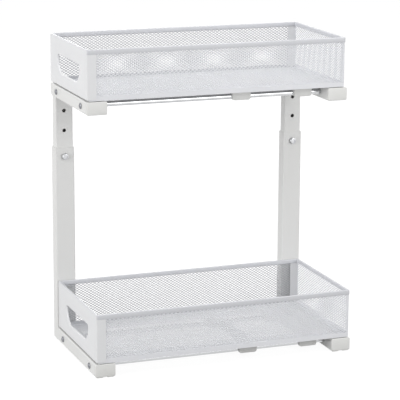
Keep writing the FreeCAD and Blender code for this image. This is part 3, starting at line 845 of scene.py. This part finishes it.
def add_cap(bm, face_x, seam_x, end_x, centre, half_y, half_z):
    """Collar from the seam to its outer face, and the tongue inside the tube."""
    out = 1 if face_x > seam_x else -1
    steps = [(end_x, TONGUE_INSET), (seam_x, TONGUE_INSET), (seam_x, GROOVE),
             (seam_x + out * GROOVE, GROOVE), (seam_x + out * GROOVE * GROOVE_RISE, 0)]
    rounding = min(CAP_ROUND, abs(face_x - seam_x) / 2)
    for turn in (0, 30, 60, 90):
        back = rounding * (1 - math.sin(math.radians(turn)))
        steps.append((face_x - out * back, rounding * (1 - math.cos(math.radians(turn)))))
    skin(bm, [[Vector((x, centre.y + y, centre.z + z)) for y, z in
               ring(half_y - inset, half_z - inset, max(TUBE_CORNER - inset, LEAST_CORNER))]
              for x, inset in steps])


def add_nub(bm, low, high):
    """Foot nub with a round lower edge."""
    middle = (low + high) / 2
    half = (high - low) / 2
    knee = NUB_EASE * KNEE
    rows = [(high.z, 0), (low.z + NUB_EASE, 0), (low.z + knee, knee), (low.z, NUB_EASE)]
    skin(bm, [[Vector((middle.x + x, middle.y + y, z)) for x, y in
               ring(half.x - inset, half.y - inset, NUB_CORNER - inset)] for z, inset in rows])


# %% [markdown]
# ## End caps and plugs
# Each beam has a cap at its open end, and each upper beam a thinner plug behind its post.  All of
# them take their section from the beam's box.

# %% End caps
NUB_WIDE = 10 * MM
NUB_APART = 6 * MM
NUB_LONG = 3.7 * MM
NUB_INSET = 0.6 * MM
NUB_ROOT = 1 * MM


def beam_cap(beam, face_x, end_x):
    """Bmesh of a cap in the end of a beam that its face is at."""
    beam_low, beam_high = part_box(beam)
    centre = (beam_low + beam_high) / 2
    half = (beam_high - beam_low) / 2
    seam_x = beam_high.x if face_x > centre.x else beam_low.x
    bm = bmesh.new()
    add_cap(bm, face_x, seam_x, end_x, centre, half.y, half.z)
    return bm


def add_feet(bm, outer_x, floor_z, beam):
    """Two foot nubs side by side under the cap of a beam."""
    beam_low, beam_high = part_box(beam)
    for sign in (-1, 1):
        inner = (beam_low.y + beam_high.y) / 2 + sign * NUB_APART / 2
        near, far = sorted((inner, inner + sign * NUB_WIDE))
        add_nub(bm, Vector((outer_x - NUB_LONG, near, floor_z)),
                Vector((outer_x, far, beam_low.z + NUB_ROOT)))


for tier, end in product(TIERS, ENDS):
    node = f"{tier}_end_cap_{end}"
    low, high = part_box(node)
    cap = beam_cap(f"{tier}_beam_{end}", high.x, low.x)
    if tier == "lower":
        add_feet(cap, high.x - NUB_INSET, low.z, f"{tier}_beam_{end}")
    keep_piece(f"{tier}_moulded_cap_{end}", closed_mesh(cap), cap_plastic, f"{tier}_frame",
               [node])
for end in ENDS:
    node = f"upper_back_plug_{end}"
    low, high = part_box(node)
    plug = beam_cap(f"upper_beam_{end}", low.x, high.x)
    keep_piece(f"upper_moulded_plug_{end}", closed_mesh(plug), cap_plastic, "upper_frame",
               [node])

# %% [markdown]
# ## One rail screw
# A pan-head screw has a low round head with a cross recess, which tapers towards its bottom, and
# a shank that ends in a blunt point.

# %% Pan-head screw
PAN_RADIUS = 4.5 * MM
PAN_TALL = 2.2 * MM
PAN_EASE = 0.3 * MM
PAN_SIDE = 0.9 * MM
PAN_DOME = 2.4 * MM
SHANK_RADIUS = 1.95 * MM
POINT_SHARE = 0.7
POINT_LONG = 1 * MM
RECESS = 4.6 * MM
RECESS_SLOT = 0.95 * MM
RECESS_DEEP = 1.5 * MM
RECESS_CORNER = 0.1 * MM
RECESS_TAPER = 0.55
CUT_OVER = 0.2 * MM


def pan_screw(shank_long):
    """Pan-head screw: its head's underside is at z = 0 and the head is above it."""
    profile = [(TIP, -shank_long), (SHANK_RADIUS * POINT_SHARE, -shank_long),
               (SHANK_RADIUS, -shank_long + POINT_LONG), (SHANK_RADIUS, 0),
               (PAN_RADIUS - PAN_EASE, 0), (PAN_RADIUS, PAN_EASE), (PAN_RADIUS, PAN_SIDE)]
    for turn in (20, 40, 60, 80, 90):
        angle = math.radians(turn)
        profile.append((max(PAN_RADIUS - PAN_DOME * (1 - math.cos(angle)), TIP),
                        PAN_SIDE + (PAN_TALL - PAN_SIDE) * math.sin(angle)))
    profile.append((TIP, PAN_TALL))
    screw = closed_mesh(turned(profile, steps=40))
    for long, wide in ((RECESS, RECESS_SLOT), (RECESS_SLOT, RECESS)):
        bm = bmesh.new()
        skin(bm, [[Vector((x, y, z)) for x, y in
                   ring(long / 2 * grow, wide / 2 * grow, RECESS_CORNER, steps=2)]
                  for z, grow in ((PAN_TALL - RECESS_DEEP, RECESS_TAPER),
                                  (PAN_TALL + CUT_OVER, 1.0))])
        screw = cut_out(screw, closed_mesh(bm))
    return loose_object(screw)


# %% [markdown]
# ## Screws at their spots
# Four screws hold each pair of rails.  A tree puts the screw at each spot, with its head
# outwards: the sign of the spot's y says which way it turns about x.

# %% Screw tree
screws_at_points, given = new_tree("screws_at_points", {
    "Spots": "Geometry", "Screw": "Object", "Finish": "Material"})
spot = add_node(screws_at_points, "GeometryNodeInputPosition")
spot_parts = add_node(screws_at_points, "ShaderNodeSeparateXYZ", {},
                      {"Vector": spot.outputs["Position"]})
side_sign = add_node(screws_at_points, "ShaderNodeMath", {"operation": "SIGN"},
                     {0: spot_parts.outputs["Y"]})
quarter = add_node(screws_at_points, "ShaderNodeMath",
                   {"operation": "MULTIPLY", 1: -math.pi / 2}, {0: side_sign.outputs["Value"]})
outward = add_node(screws_at_points, "ShaderNodeCombineXYZ", {},
                   {"X": quarter.outputs["Value"]})
one_screw = add_node(screws_at_points, "GeometryNodeObjectInfo", {"As Instance": True},
                     {"Object": given["Screw"]})
screws = add_node(screws_at_points, "GeometryNodeInstanceOnPoints", {},
                  {"Points": given["Spots"], "Instance": one_screw.outputs["Geometry"],
                   "Rotation": outward.outputs["Vector"]})
end_tree(screws_at_points, screws.outputs["Instances"], given["Finish"])

# %% [markdown]
# ## Rail screws
# The heads sit on the beams' outer faces, and the shanks go through the beam into the rail.

# %% Rail screws
SCREW_GRIP = 9 * MM
for tier in TIERS:
    node = f"{tier}_rail_screws"
    low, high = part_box(node)
    beam_low, beam_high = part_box(f"{tier}_beam_rear")
    spots = bpy.data.meshes.new("spots")
    spots.from_pydata([(x, sign * beam_high.y, (low.z + high.z) / 2)
                       for x in (low.x + PAN_RADIUS, high.x - PAN_RADIUS)
                       for sign in (-1, 1)], [], [])
    screw = pan_screw(beam_high.y - beam_low.y + SCREW_GRIP)
    mesh = grown(loose_object(spots), screws_at_points, {"Screw": screw, "Finish": zinc_steel})
    bpy.data.objects.remove(screw)
    keep_piece(f"{tier}_pan_head_screws", mesh, zinc_steel, f"{tier}_frame",
               [node])

# %% [markdown]
# ## Lock screws
# A button-head screw goes through each outer post, with a hexagonal socket and a rolled thread.
# The thread is drawn as rings, because its slope doesn't show.

# %% Lock screws
THREAD_PITCH = 0.8 * MM
THREAD_ROOT = 0.82
END_SHARE = 0.75
BUTTON_EASE = 0.35 * MM
BUTTON_FLAT = 1.15
BUTTON_TALL = 2.8 * MM
SOCKET = 3.2 * MM
SOCKET_DEEP = 1.4 * MM
SOCKET_OVER = 1 * MM
LOCK_RADIUS = 2.45 * MM


def button_screw(shank_long, head_radius):
    """Button-head screw whose head's underside is at z = 0."""
    profile = [(TIP, -shank_long), (LOCK_RADIUS * END_SHARE, -shank_long)]
    crest = -shank_long + THREAD_PITCH / 2
    while crest < -THREAD_PITCH / 4:
        profile += [(LOCK_RADIUS, crest), (LOCK_RADIUS * THREAD_ROOT, crest + THREAD_PITCH / 2)]
        crest += THREAD_PITCH
    profile += [(LOCK_RADIUS, 0), (head_radius - BUTTON_EASE, 0), (head_radius, BUTTON_EASE)]
    flat = SOCKET * BUTTON_FLAT
    for turn in (15, 30, 45, 60, 75, 90):
        angle = math.radians(turn)
        profile.append((flat + (head_radius - flat) * math.cos(angle),
                        BUTTON_EASE + (BUTTON_TALL - BUTTON_EASE) * math.sin(angle)))
    profile.append((TIP, BUTTON_TALL))
    screw = closed_mesh(turned(profile))
    bm = bmesh.new()
    skin(bm, [[Vector((SOCKET * math.cos(turn), SOCKET * math.sin(turn), z))
               for turn in (math.pi / 3 * step for step in range(6))]
              for z in (BUTTON_TALL - SOCKET_DEEP, BUTTON_TALL + SOCKET_OVER)])
    return cut_out(screw, closed_mesh(bm))


for end in ENDS:
    node = f"lock_screw_{end}"
    low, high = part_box(node)
    middle = (low + high) / 2
    mesh = button_screw(high.x - low.x - BUTTON_TALL, (high.y - low.y) / 2)
    mesh.transform(Matrix.Translation((high.x - BUTTON_TALL, middle.y, middle.z))
                   @ Matrix.Rotation(math.pi / 2, 4, "Y"))
    keep_piece(f"button_{node}", mesh, nickel_steel, node, [node])

# %% [markdown]
# ## World
# The organizer stands on white in soft, even light.  The world gives that fill.  What the camera
# sees of it, and what the metal mirrors, is plain white instead: Light Path tells these rays from
# the ones that carry light, so the white costs the object nothing.

# %% World
FILL = 0.46
WHITE = (1.0, 1.0, 1.0, 1.0)


def seen_directly(tree):
    """1 for rays from the camera and for reflected or refracted rays, else 0."""
    path = add_node(tree, "ShaderNodeLightPath").outputs
    first = add_node(tree, "ShaderNodeMath", {"operation": "MAXIMUM"},
                     {0: path["Is Camera Ray"], 1: path["Is Glossy Ray"]})
    return add_node(tree, "ShaderNodeMath", {"operation": "MAXIMUM"},
                    {0: first.outputs["Value"], 1: path["Is Transmission Ray"]}).outputs["Value"]


scene = bpy.context.scene
scene.view_settings.view_transform = "Standard"
world = bpy.data.worlds.new("studio")
scene.world = world
world.use_nodes = True
tree = world.node_tree
tree.nodes.clear()
level = add_node(tree, "ShaderNodeMapRange", {"To Min": FILL, "To Max": 1.0},
                 {"Value": seen_directly(tree)})
sky = add_node(tree, "ShaderNodeBackground", {"Color": WHITE},
               {"Strength": level.outputs["Result"]})
add_node(tree, "ShaderNodeOutputWorld", {}, {"Surface": sky.outputs["Background"]})
print("fill:", FILL)

# %% [markdown]
# ## Floor
# The floor is grey paper for the light that it sends back up, so that the undersides stay dark,
# and white paper where it is seen.  Seen, it is mostly a white glow, and the rest is paper that
# keeps a part of the organizer's shadow.

# %% Floor
PAPER = "#9C9C9C"
SHADOW_SHARE = 0.15
GLOW = 1.09
FLOOR_HALF = 6.0
floor_finish = bpy.data.materials.new("pale_floor")
floor_finish.use_nodes = True
tree = floor_finish.node_tree
tree.nodes.clear()
seen = seen_directly(tree)
tint = add_node(tree, "ShaderNodeMix", {"data_type": "RGBA"}, {"Factor": seen})
tint.inputs["A"].default_value = linear(PAPER)
tint.inputs["B"].default_value = WHITE
paper = add_node(tree, "ShaderNodeBsdfDiffuse", {}, {"Color": tint.outputs["Result"]})
glow = add_node(tree, "ShaderNodeEmission", {"Color": WHITE, "Strength": GLOW})
share = add_node(tree, "ShaderNodeMath", {"operation": "MULTIPLY", 1: 1 - SHADOW_SHARE},
                 {0: seen})
mixed = add_node(tree, "ShaderNodeMixShader", {},
                 {0: share.outputs["Value"], 1: paper.outputs["BSDF"],
                  2: glow.outputs["Emission"]})
add_node(tree, "ShaderNodeOutputMaterial", {}, {"Surface": mixed.outputs["Shader"]})
floor_mesh = bpy.data.meshes.new("floor")
floor_mesh.from_pydata([(x * FLOOR_HALF, y * FLOOR_HALF, 0)
                        for x, y in ((-1, -1), (1, -1), (1, 1), (-1, 1))], [], [(0, 1, 2, 3)])
floor_mesh.materials.append(floor_finish)
floor = bpy.data.objects.new("floor", floor_mesh)
scene.collection.objects.link(floor)
print("floor, m:", 2 * FLOOR_HALF)

# %% [markdown]
# ## Lamps
# Four large softboxes model the shape.  The strongest lights the pull end, which is the brightest
# side, the next hangs overhead and brightens the tops of the beams, and two weaker ones, on the
# open side and behind the posts, lift what would go grey.

# %% Lamps
CENTRE = (0, 0, 0.22)


def add_lamp(name, place, wide, watts):
    """Square area lamp that faces the organizer's middle."""
    data = bpy.data.lights.new(name, "AREA")
    data.size = wide
    data.energy = watts
    lamp = bpy.data.objects.new(name, data)
    lamp.location = place
    lamp.rotation_euler = (Vector(CENTRE) - Vector(place)).to_track_quat("-Z", "Y").to_euler()
    scene.collection.objects.link(lamp)
    print(f"{name}: {watts} W")


add_lamp("pull_end_softbox", (0.6, -2.4, 0.9), wide=1.6, watts=33)
add_lamp("side_softbox", (1.9, 1.0, 0.8), wide=1.2, watts=17)
add_lamp("overhead_softbox", (0.1, 0.2, 2.6), wide=1.8, watts=24)
add_lamp("post_side_softbox", (-2.2, 0.3, 0.7), wide=1.4, watts=14)

# %% [markdown]
# ## Camera
# The camera was solved from the object's own corners: a long lens, 69 degrees round from the pull
# end and 13 degrees above the horizon.

# %% Camera
AZIMUTH = math.radians(69.38)
ELEVATION = math.radians(13.17)
ROLL = math.radians(0.31)
LENS_MM = 165.73
SENSOR_MM = 36
CAMERA_PLACE = (2.5061, -0.9448, 0.8506)
data = bpy.data.cameras.new("camera")
data.lens = LENS_MM
data.sensor_width = SENSOR_MM
camera = bpy.data.objects.new("camera", data)
turn = (Matrix.Rotation(AZIMUTH, 3, "Z") @ Matrix.Rotation(math.pi / 2 - ELEVATION, 3, "X")
        @ Matrix.Rotation(ROLL, 3, "Z"))
camera.rotation_euler = turn.to_euler()
camera.location = CAMERA_PLACE
scene.collection.objects.link(camera)
scene.camera = camera
print("camera to organizer, m:", round((Vector(CAMERA_PLACE) - Vector(CENTRE)).length, 2))
